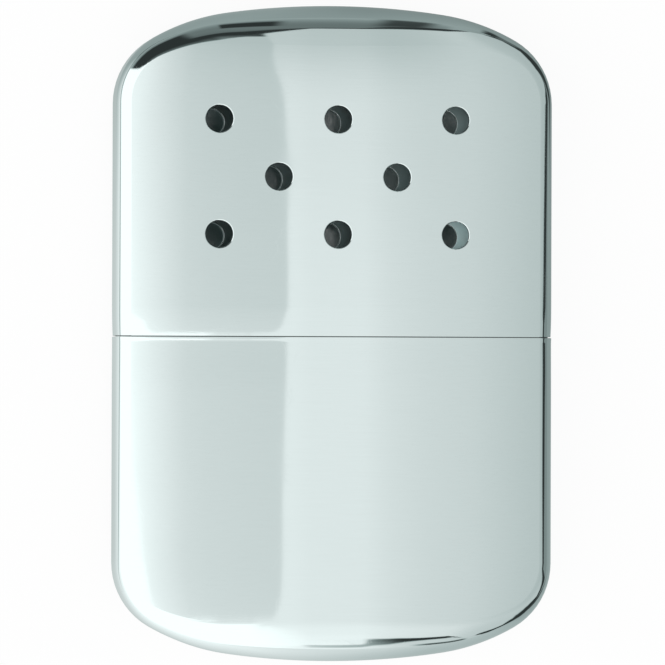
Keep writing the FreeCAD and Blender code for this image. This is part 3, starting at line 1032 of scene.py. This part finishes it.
def fibre(name, pale, deep, thickness, curl, depth, sheen):
    """Matted fibre: pale on top of its strands, with painted shade between them."""
    f = Finish(name)
    mat = f.effect(FIBRES, Thickness=thickness, Curl=curl)
    # the deep colour is painted shade between the strands
    f.set(Base_Color=f.blend(deep, pale, f.step(mat["Shade"], 0.25, 0.8)), Roughness=0.95,
          Sheen_Weight=sheen, Sheen_Roughness=0.6, Specular_IOR_Level=0.25)
    f.raise_surface(f.times(mat["Height"], depth))
    return f.material


chrome = metal("case_chrome", (0.56, 0.628, 0.624), 0.04, 0.1, swell=0.02, span=16.0)
# the lining's bright patch is painted light, falling in through the vents
lining = metal("case_lining", (0.34, 0.45, 0.45), 0.33, 0.42, lines=0.002, length=14.0, turned=True,
               stains_and_painted_light=[((0.30, 0.30, 0.28), patches, 0.35), ((0.74, 0.96, 0.96), painted_light_patch, 1.0)])
# the nearly black band round the seam is painted shade in the gap between lid and tank
cover_plate = metal("cover_chrome", (0.56, 0.6, 0.595), 0.12, 0.24, lines=0.001, fineness=7.0,
                    length=5.0, turned=True, stains_and_painted_light=[((0.03, 0.03, 0.03), seam_painted_shade, 0.9)])
burner_plate = metal("burner_chrome", (0.6, 0.61, 0.59), 0.13, 0.24, swell=0.006, span=7.0,
                     stains_and_painted_light=[((0.5, 0.42, 0.31), near_flame, 0.45)])
neck_metal = metal("neck_steel", (0.52, 0.52, 0.5), 0.24, 0.34, lines=0.0015, fineness=8.0)
retainer_metal = metal("retainer_steel", (0.44, 0.44, 0.43), 0.28, 0.4, lines=0.0015, fineness=8.0,
                       stains_and_painted_light=[((0.3, 0.25, 0.2), patches, 0.4)])
screen_metal = metal("screen_steel", (0.5, 0.5, 0.49), 0.26, 0.36, fineness=9.0)
mesh_metal = metal("mesh_steel", (0.46, 0.45, 0.43), 0.3, 0.42, fineness=9.0,
                   stains_and_painted_light=[((0.26, 0.22, 0.2), patches, 0.5)])
grille_metal = metal("grille_steel", (0.5, 0.49, 0.46), 0.24, 0.38, fineness=9.0,
                     stains_and_painted_light=[((0.33, 0.26, 0.2), patches, 0.45)])
solder_metal = metal("solder", (0.42, 0.42, 0.41), 0.4, 0.5, swell=0.12, span=2.2, lines=0.004,
                     fineness=1.5, length=1.0)
felt_fibre = fibre("felt", (0.75, 0.72, 0.66), (0.46, 0.43, 0.38), 0.09, 0.8, 0.09, 0.25)
cotton_fibre = fibre("wadding", (0.86, 0.85, 0.82), (0.62, 0.6, 0.56), 0.06, 1.2, 0.14, 0.3)
glass_fibre = fibre("catalyst_fibre", (0.62, 0.61, 0.58), (0.2, 0.19, 0.18), 0.07, 0.4, 0.1, 0.15)


# ---- The pieces: an oval's end radius or an inset from the case, then a level from the seam ----

NECK_OUTER, NECK_BORE, NECK_FOOT, NECK_TOP = 4.5, 4.1, 1.0, 7.6
FLANGE, FLANGE_FOOT, FLANGE_TOP = 5.6, 3.2, 3.6
COLLAR_OUTER, COLLAR_INNER, COLLAR_TOP, COLLAR_FOOT = 0.53, 0.9, 4.0, -6.5
COVER_FOOT = 3.6
COVER_HOLE = 4.55
COVER_MIDDLE = (2.5, 5.2)  # where the plate's two halves meet: an inset, and an oval round the neck
CORNER = 0.1  # radius left on a cut edge of thin sheet
BEAD_CORNERS = [(0.45, -6.5, 0), (0.9, -6.5, 0), (0.86, -6.98, 0.25), (0.45, -6.9, 0.1)]


def slotted_cap(outer, bore, foot, top, window, sheet, rolls):
    """A cap with a window in its top, and air slots through both its flats."""
    rim, shoulder, lip, under = rolls
    rows = [(outer, level, 0) for level in SLOT_ROWS]
    bore_rows = [(bore, level, 0) for level in reversed(SLOT_ROWS)]
    bm = swept(ovals([(outer, foot, rim), *rows, (outer, top, shoulder), (window, top, lip),
                      (window, top - sheet, under), (bore, top - sheet, 0), *bore_rows,
                      (bore, foot, rim)]))
    cut_slots(bm, outer, bore)
    return bm


bm, plan = drawn_shell(LID_RIM, True, LID_CROWN, drawn_in)
finish_shell("lid_case", bm, plan, False, "lid", "lid_shell", [chrome, lining])
bm, plan = drawn_shell(-TANK_RIM, False, TANK_CROWN, dipped)
finish_shell("tank_case", bm, plan, True, "tank", "tank_shell", [chrome, lining])

bm = swept(ovals([
    (NECK_BORE, NECK_FOOT, 0.12), (NECK_OUTER, NECK_FOOT, 0.12), (NECK_OUTER, FLANGE_FOOT, 0),
    (FLANGE, FLANGE_FOOT, CORNER), (FLANGE, FLANGE_TOP, CORNER), (NECK_OUTER, FLANGE_TOP, 0),
    (NECK_OUTER, NECK_TOP, 0.14), (NECK_BORE, NECK_TOP, 0.14)]))
finish_piece("neck", bm, "tank", "filler_neck", neck_metal)

bm = slotted_cap(5.0, 4.6, 4.3, 12.4, 3.4, 0.4, (0.14, 1.0, 0.14, 0.08))
finish_piece("burner_cap", bm, "burner", "burner_body", burner_plate)
bm = slotted_cap(4.55, 4.1, 7.7, 9.6, 3.35, 0.3, (0.08, 0.14, CORNER, CORNER))
finish_piece("retainer", bm, "burner", "burner_retainer", retainer_metal)

plate_edge, hole_edge = COVER_MIDDLE
collar = softened([(plate_edge, COLLAR_TOP, 0), (COLLAR_OUTER, COLLAR_TOP, 1.0),
                   (COLLAR_OUTER, COLLAR_FOOT, 0.12), (COLLAR_INNER, COLLAR_FOOT, 0.12),
                   (COLLAR_INNER, COVER_FOOT, 0.6), (plate_edge, COVER_FOOT, 0)])
neck_hole = softened([(hole_edge, COVER_FOOT, 0), (COVER_HOLE, COVER_FOOT, CORNER),
                      (COVER_HOLE, COLLAR_TOP, CORNER), (hole_edge, COLLAR_TOP, 0)])
bm = swept([(section, *point) for point in collar] + [(oval, *point) for point in neck_hole])
finish_piece("collar", bm, "tank", "tank_cover", cover_plate)

bm = swept([(section, *point) for point in softened(BEAD_CORNERS)])
finish_piece("solder_bead", bm, "tank", "tank_seam_solder", solder_metal)

for name, bm, node, mesh_size, room, ragged, clump in (
        ("upper_wad", block(section, -6.3, 0.5, 1.45, 1, 1.2), "wadding_upper",
         1.0, 0.2, 0.12, 2.6),
        ("middle_wad", block(section, -28.5, -7.5, 0.95, 1, 1.6), "wadding_middle",
         1.1, 0.2, 0.15, 3.0),
        ("lower_wad", closed_end(29.25, 0.95), "wadding_lower", 1.1, 0.2, 0.15, 3.0)):
    fibre_piece(name, bm, mesh_size, room, ragged, clump, "tank", node, cotton_fibre)
bm = block(oval, 1.35, 4.05, 3.85, -1, 0.4)
fibre_piece("felt_plug", bm, 0.45, 0.12, 0.05, 1.2, "tank", "neck_felt", felt_fibre)
bm = block(oval, 10.12, 11.48, 4.35, -1, 0.35)
fibre_piece("glowing_pad", bm, 0.4, 0.1, 0.06, 0.9, "burner", "catalyst_pad", glass_fibre)

for node, finish in (("fuel_screen", screen_metal), ("pad_support_mesh", mesh_metal),
                     ("burner_grille", grille_metal)):
    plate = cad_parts[node]
    plate.data.materials.clear()
    plate.data.materials.append(finish)


# ---- Floor, lights and camera ----

# brightness, in degrees down from straight up, or of lean across or along the case from there
ROOM_DARK = 0.05
ROOM_HAZE = [(24, 0.12), (31, 0.08), (38, 0.1), (45, 0.22), (58, 0.27), (66, 0.27), (73, 0.31),
             (80, 0.4), (87, 0.52), (90, 0.56)]
WHITE_PANEL = 1.75
CARD_LIGHT = [(-12.5, 1.66), (-11.2, 1.52), (-10.2, 1.42), (-9.2, 1.33), (-7.7, 1.22),
              (-6.2, 1.12), (-4, 1.08), (0, 1.05), (4, 1.03)]
CARD_FALL = [(-5, 1.07), (0, 1.01), (7.7, 0.8)]
PALE_PANEL_LIGHT = [(0, 1.35), (5, 1.33), (7.2, 1.28), (10.4, 1.17), (14, 1.1), (19, 1.04),
                    (25, 0.9), (30, 0.82), (36, 0.79), (44, 0.76)]
# how far the card's right edge comes in, up and down its length
CARD_WAIST = [(-5, 0.95), (-3.5, 0.75), (-2, 0.55), (-1.2, 0.42), (-0.5, 0.3), (0.3, 0.15),
              (2.2, 0), (3.2, 0.5), (4.5, 1.4), (6, 1.85)]
CARD_FOOT = -2.32
# the dark gap under the pale panel, in degrees round from +X: its middle, in degrees down, and
# half its width, first in front and then on the right and behind
GAP_TURN = -5.5
GAP_PLACE_FRONT = [(-90, 81), (-82.3, 80.5), (-81.2, 69), (-79, 66), (-77.5, 64), (-70, 64),
                   (-67, 80), (-60, 83), (-54, 83), (-50, 79), (-45, 77), (-34, 77), (-29, 80),
                   (-24, 86), (-20, 88), (-16, 86), (-12, 79), (-8, 66), (-5, 56)]
GAP_PLACE_BACK = [(-5, 56), (-1, 57), (0, 59), (0.8, 60), (1.5, 65), (2.2, 70), (2.8, 77),
                  (3.5, 84), (8, 84), (13, 91), (18, 96), (23, 94), (28, 88), (36, 89), (44, 91),
                  (52, 90), (56, 93), (62, 82), (71, 66), (76, 63), (79, 60), (81.5, 56),
                  (84, 50), (87, 44), (90, 41), (110, 36)]
GAP_HALF_FRONT = [(-90, 2), (-84, 5), (-82, 5), (-81, 11), (-80, 11), (-78.5, 8), (-75, 5),
                  (-70, 4), (-67.5, 0.3), (-64, 0.3), (-62, 5), (-60, 6), (-57, 4), (-54, 4),
                  (-50, 8), (-44, 13), (-34, 14), (-28, 12), (-24, 8), (-20, 12), (-16, 13),
                  (-12, 12), (-8, 9), (-5, 6)]
GAP_HALF_BACK = [(-5, 6), (-2, 6), (-1, 10), (0, 11), (0.8, 13), (1.5, 14), (3, 15), (8, 15),
                 (13, 11), (23, 10), (28, 12), (40, 12), (46, 7), (52, 7), (56, 6), (62, 0.5),
                 (66, 0.5), (69, 4), (72, 5), (76, 5), (79, 4), (81.5, 1), (84, 4), (87, 7),
                 (110, 7)]
BELOW_GAP = [(-90, 1.3), (-80, 1.05), (-66, 0.9), (-50, 0.6), (-30, 0.4), (55, 0.39),
             (67, 0.52), (76, 0.56), (90, 0.4)]
# two chinks low down, one behind and one in front: from and to, round; how far down; half-width
CHINKS = [(76.1, 80.5, 77.0, 18.0), (-77.0, -68.0, 87.0, 5.5)]

PAPER = 0.88
PAPER_GLOW = 0.93
PAPER_SHADE_REACH = 0.03
FLOOR_HALF = 3  # m
PAINTED_SHADE_UNDER_CASE = (0.25, 0.36, 0.36)  # painted shade: the paper's colour in the shut-in dark beneath the case
CASE_CORNER = 18.0  # about the radius of the case's corners, in mm
# the paper's brightness in the metal, a painted glow that stands in for its light and shade, beside
# the case and far off, in degrees round from +X
PAPER_NEAR = [(-180, 0.66), (-140, 0.62), (-100, 0.58), (-80, 0.54), (-60, 0.6), (-40, 0.56),
              (-14, 0.5), (0, 0.45), (12, 0.42), (24, 0.34), (50, 0.3), (84, 0.32), (100, 0.42),
              (130, 0.5), (150, 0.6), (180, 0.66)]
PAPER_FAR = [(-180, 1.6), (-120, 1.65), (-100, 1.55), (-80, 1.15), (-66, 0.86), (-50, 0.78),
             (-38, 0.6), (-14, 0.5), (0, 0.5), (20, 0.46), (60, 0.54), (80, 0.48), (100, 0.54),
             (142, 0.52), (152, 1.2), (164, 1.6), (180, 1.6)]
PAPER_HALF_WAY = 12.0  # mm out at which the paper is half way from the one to the other
PAPER_GAP = [(12, 48), (25, 30), (32, 28), (38, 48), (46, 70), (51, 40)]  # mm out to the painted dark band


class Sky:
    """The way that a ray leaves, as the light tent's parts are laid out by it."""

    def __init__(self, w):
        place = w.add("ShaderNodeTexCoord").outputs["Generated"]
        x, y, z = w.add("ShaderNodeSeparateXYZ", place).outputs
        level = w.most(w.reach(x, y), 0.0001)
        self.down = w.maths("DEGREES", w.maths("ARCCOSINE", z))  # degrees from straight up
        self.round = w.maths("DEGREES", w.maths("ARCTAN2", y, x))  # degrees from +X towards +Y
        self.lean_x = w.times(self.down, w.per(x, level))
        self.lean_y = w.times(self.down, w.per(y, level))


def room(w, sky):
    """The room beyond the tent's open back, and the table's far edge."""
    light = w.level(sky.down, ROOM_HAZE)
    open_back = w.times(w.step(sky.round, 105.0, 110.0), w.step(sky.down, 80.0, 70.0))
    light = w.over(light, ROOM_DARK, open_back)
    edge = w.times(w.band(sky.round, 84.8, 86.6, 94.0, 95.5),
                   w.band(sky.down, 61.0, 65.0, 76.0, 84.0))
    return w.over(light, ROOM_DARK, edge)


def pale_panel(w, sky, light):
    """The pale panel, brighter low in front and dimmer behind, and the gap under its edge."""
    pale = w.level(sky.lean_x, PALE_PANEL_LIGHT)
    pale = w.plus(pale, w.times(w.step(sky.lean_y, -4.0, -30.0), 0.13))
    rearward = w.times(w.step(sky.lean_y, 0.0, 9.0), w.step(sky.lean_x, 26.0, 8.0))
    pale = w.times(pale, w.over(1.0, 0.7, rearward))
    pale = w.most(pale, w.over(0.0, 0.7, w.step(sky.down, 20.0, 45.0)))
    on_right = w.most(w.step(sky.lean_x, 2.0, 2.6),
                      w.times(w.step(sky.lean_x, 0.2, 0.8), w.step(sky.down, 16.0, 12.0)))
    behind = w.step(sky.round, GAP_TURN - 0.5, GAP_TURN + 0.5)
    gap = w.over(w.level(sky.round, GAP_PLACE_FRONT), w.level(sky.round, GAP_PLACE_BACK), behind)
    half = w.over(w.level(sky.round, GAP_HALF_FRONT), w.level(sky.round, GAP_HALF_BACK), behind)
    above = w.minus(sky.down, gap)
    shown = w.times(on_right, w.step(above, 1.5, -1.5), w.step(sky.round, 101.0, 99.0))
    below = w.over(w.level(sky.round, BELOW_GAP), light, w.step(sky.round, 70.0, 76.0))
    light = w.over(below, pale, shown)
    into = w.per(w.size(above), half)
    dark = w.times(w.step(into, 1.25, 0.55), w.step(half, 0.3, 1.2),
                   w.band(sky.round, -84.0, -83.0, 107.0, 111.0))
    return w.over(light, ROOM_DARK, dark)


def feathered_edge(w, sky, light):
    """The tent's feathered back edge over the middle, and the chinks low down."""
    feather = w.times(w.band(sky.round, 85.0, 90.0, 97.0, 103.0), w.step(sky.down, 38.0, 20.0))
    light = w.over(light, 0.5, w.times(feather, 0.6))
    dim = w.times(w.step(sky.round, 100.0, 106.0), w.step(sky.down, 30.0, 14.0))
    light = w.over(light, 0.26, dim)
    for low, high, middle, thick in CHINKS:
        off = w.size(w.minus(sky.down, middle))
        chink = w.times(w.band(sky.round, low - 1.5, low + 1.0, high - 1.0, high + 1.5),
                        w.step(off, thick, thick * 0.4))
        light = w.over(light, ROOM_DARK, w.times(chink, 0.9))
    return light


def white_panel(w, sky):
    """Where the white panel is, from the upper left round to the front, in turns from +X."""
    turn = w.maths("WRAP", w.per(sky.round, 360.0), 1.0, 0.0)
    white = w.band(turn, 0.409, 0.416, 0.752, 0.785)
    overhead = w.times(w.step(turn, 0.62, 0.66), w.step(sky.down, 15.0, 8.0))
    return w.times(white, w.over(1.0, 0.0, overhead))


def card(w, sky, light, white):
    """The card straight above, cut at two slants at its far end."""
    steep = w.minus(sky.lean_y, w.times(sky.lean_x, 2.5))
    gentle = w.minus(sky.lean_y, w.times(sky.lean_x, 1.25))
    reach = w.most(w.step(steep, 32.0, 29.0), w.step(gentle, 28.5, 22.5))
    reach = w.times(reach, w.step(sky.lean_y, 31.5, 29.0))
    right = w.minus(w.plus(sky.lean_x, w.level(sky.lean_y, CARD_WAIST)), 3.3)
    left = w.plus(sky.lean_x, w.times(w.step(sky.lean_y, -2.4, 0.0), 1.6))
    left = w.plus(left, w.times(w.step(sky.lean_y, 1.0, 5.0), 2.4))
    left = w.minus(-9.3, left)
    across = w.most(w.most(left, right), 0.0)
    along = w.times(w.most(w.minus(CARD_FOOT, sky.lean_y), 0.0), 0.6)
    shown = w.times(w.step(w.reach(across, along), 1.2, 1.0), w.most(reach, white))
    card_light = w.times(w.level(sky.lean_x, CARD_LIGHT), w.level(sky.lean_y, CARD_FALL))
    return w.over(light, card_light, shown)


def studio_light():
    """A light tent: a white panel to the left and the front, a paler one overhead and to the
    right, a card straight above, and the room seen through the gaps."""
    world = bpy.data.worlds.new("studio")
    bpy.context.scene.world = world
    world.use_nodes = True
    background = world.node_tree.nodes["Background"]
    w = Wiring(world.node_tree)
    sky = Sky(w)
    light = room(w, sky)
    light = pale_panel(w, sky, light)
    light = feathered_edge(w, sky, light)
    white = white_panel(w, sky)
    light = w.over(light, WHITE_PANEL, white)
    light = card(w, sky, light, white)
    lit = w.add("ShaderNodeVectorMath", w.tinted(light), operation="SCALE")
    w.feed(lit, "Scale", light)
    w.feed(background, 0, lit.outputs[0])
    background.inputs["Strength"].default_value = 1.0
    # the room behind the table is white to the camera
    path = w.add("ShaderNodeLightPath").outputs
    plain = w.add("ShaderNodeBackground", (*WHITE, 1.0), 1.0)
    mixed = w.add("ShaderNodeMixShader", path["Is Camera Ray"], background.outputs[0],
                  plain.outputs[0])
    w.links.new(mixed.outputs[0], world.node_tree.nodes["World Output"].inputs["Surface"])


def paper_in_metal(w, x, y, out):
    """How bright the paper looks in the metal, a painted glow that stands in for the light and
    shade on it: by the distance out, and the way round the case.
    """
    turn = w.maths("DEGREES", w.maths("ARCTAN2", w.per(y, HALF_LENGTH), w.per(x, HALF_WIDTH)))
    away = w.most(out, 0.0)
    light = w.over(w.level(turn, PAPER_NEAR), w.level(turn, PAPER_FAR),
                   w.per(away, w.plus(away, PAPER_HALF_WAY)))
    far_off = w.per(away, w.level(turn, PAPER_GAP))
    gap = w.times(w.step(far_off, 0.45, 1.0), w.band(turn, 12.0, 20.0, 51.5, 54.5))
    gap = w.times(gap, w.over(1.0, 0.7, w.band(turn, 40.0, 43.0, 47.0, 50.0)))
    front = w.times(w.step(away, 30.0, 80.0), w.band(turn, -29.0, -26.0, -21.0, -18.0))
    # painted dark bands in the paper's glow
    light = w.over(light, 0.06, w.most(gap, front))
    # painted shade along the far left
    left_edge = w.times(w.step(w.plus(x, w.times(y, 0.28)), -69.0, -74.0),
                        w.step(w.plus(x, w.times(y, 1.2)), -125.0, -110.0))
    light = w.times(light, w.over(1.0, 0.45, left_edge))
    # painted shade beneath the case
    return w.times(light, w.over(0.35, 1.0, beside(w, out)))


def beside(w, out):
    """0 under the case and 1 beside it."""
    return w.step(out, -14.0, -1.0)


def paper_floor():
    """Pale paper that shows white, with the object's soft shadow left on it and tinted green there,
    painted shade beneath the case, and a painted glow that the metal sees.
    """
    finish = bpy.data.materials.new("floor_paper")
    finish.use_nodes = True
    finish.node_tree.nodes.clear()
    w = Wiring(finish.node_tree)
    x, y = w.across_and_along(w.add("ShaderNodeNewGeometry").outputs["Position"])
    out_x = w.most(w.minus(w.size(x), HALF_WIDTH - CASE_CORNER), 0.0)
    out_y = w.most(w.minus(w.size(y), HALF_LENGTH - CASE_CORNER), 0.0)
    out = w.minus(w.reach(out_x, out_y), CASE_CORNER)
    # the paper is painted darker beneath the case, a painted shade
    shaded_paper_colour = tuple(part * PAPER for part in PAINTED_SHADE_UNDER_CASE)
    paper = w.add("ShaderNodeBsdfDiffuse", w.blend(shaded_paper_colour, (PAPER,) * 3, beside(w, out)))
    shade = w.add("ShaderNodeAmbientOcclusion", samples=8)
    shade.inputs["Distance"].default_value = PAPER_SHADE_REACH
    clear = w.step(shade.outputs["AO"], 0.18, 0.44)
    # where ambient occlusion finds the case near, the glow gives way to the paper's own shading and
    # turns green: a painted green tint in the soft shadow
    white = w.add("ShaderNodeEmission", w.blend((0.6, 0.9, 0.9), WHITE, w.step(clear, 0.0, 0.3)),
                  1.0)
    light = paper_in_metal(w, x, y, out)
    # the paper glows to the metal with this painted light
    lit = w.add("ShaderNodeEmission", w.tinted(light), light)
    path = w.add("ShaderNodeLightPath").outputs
    seen = w.times(path["Is Camera Ray"], clear, PAPER_GLOW)
    mirrored = w.most(path["Is Glossy Ray"], path["Is Transmission Ray"])
    mix = w.add("ShaderNodeMixShader", seen, paper.outputs[0], white.outputs[0])
    mix = w.add("ShaderNodeMixShader", mirrored, mix.outputs[0], lit.outputs[0])
    w.add("ShaderNodeOutputMaterial", mix.outputs[0])
    bm = bmesh.new()
    bmesh.ops.create_grid(bm, x_segments=1, y_segments=1, size=FLOOR_HALF)
    floor = keep("floor", bm, [finish])


studio_light()
paper_floor()

CAMERA_DISTANCE = 0.9
CAMERA_LENS = 321.9
CAMERA_TARGET = Vector((0.00011, 0.00015, 0.0075))
CAMERA_TILT_X = math.radians(7.1)
CAMERA_TILT_Y = math.radians(0.57)
CAMERA_ROLL = math.radians(0.17)

camera = bpy.data.cameras.new("camera")
camera.lens = CAMERA_LENS
camera.sensor_width = 36
camera_item = bpy.data.objects.new("camera", camera)
bpy.context.scene.collection.objects.link(camera_item)
back = Vector((-math.tan(CAMERA_TILT_X), -math.tan(CAMERA_TILT_Y), 1)).normalized()
right = Vector((0, 1, 0)).cross(back).normalized()
up = back.cross(right)
right, up = (right * math.cos(CAMERA_ROLL) + up * math.sin(CAMERA_ROLL),
             up * math.cos(CAMERA_ROLL) - right * math.sin(CAMERA_ROLL))
camera_item.matrix_world = (Matrix.Translation(CAMERA_TARGET + back * CAMERA_DISTANCE)
                            @ Matrix((right, up, back)).transposed().to_4x4())
camera.clip_start, camera.clip_end = 0.01, 100
bpy.context.scene.camera = camera_item

bpy.context.scene.view_settings.view_transform = "Standard"
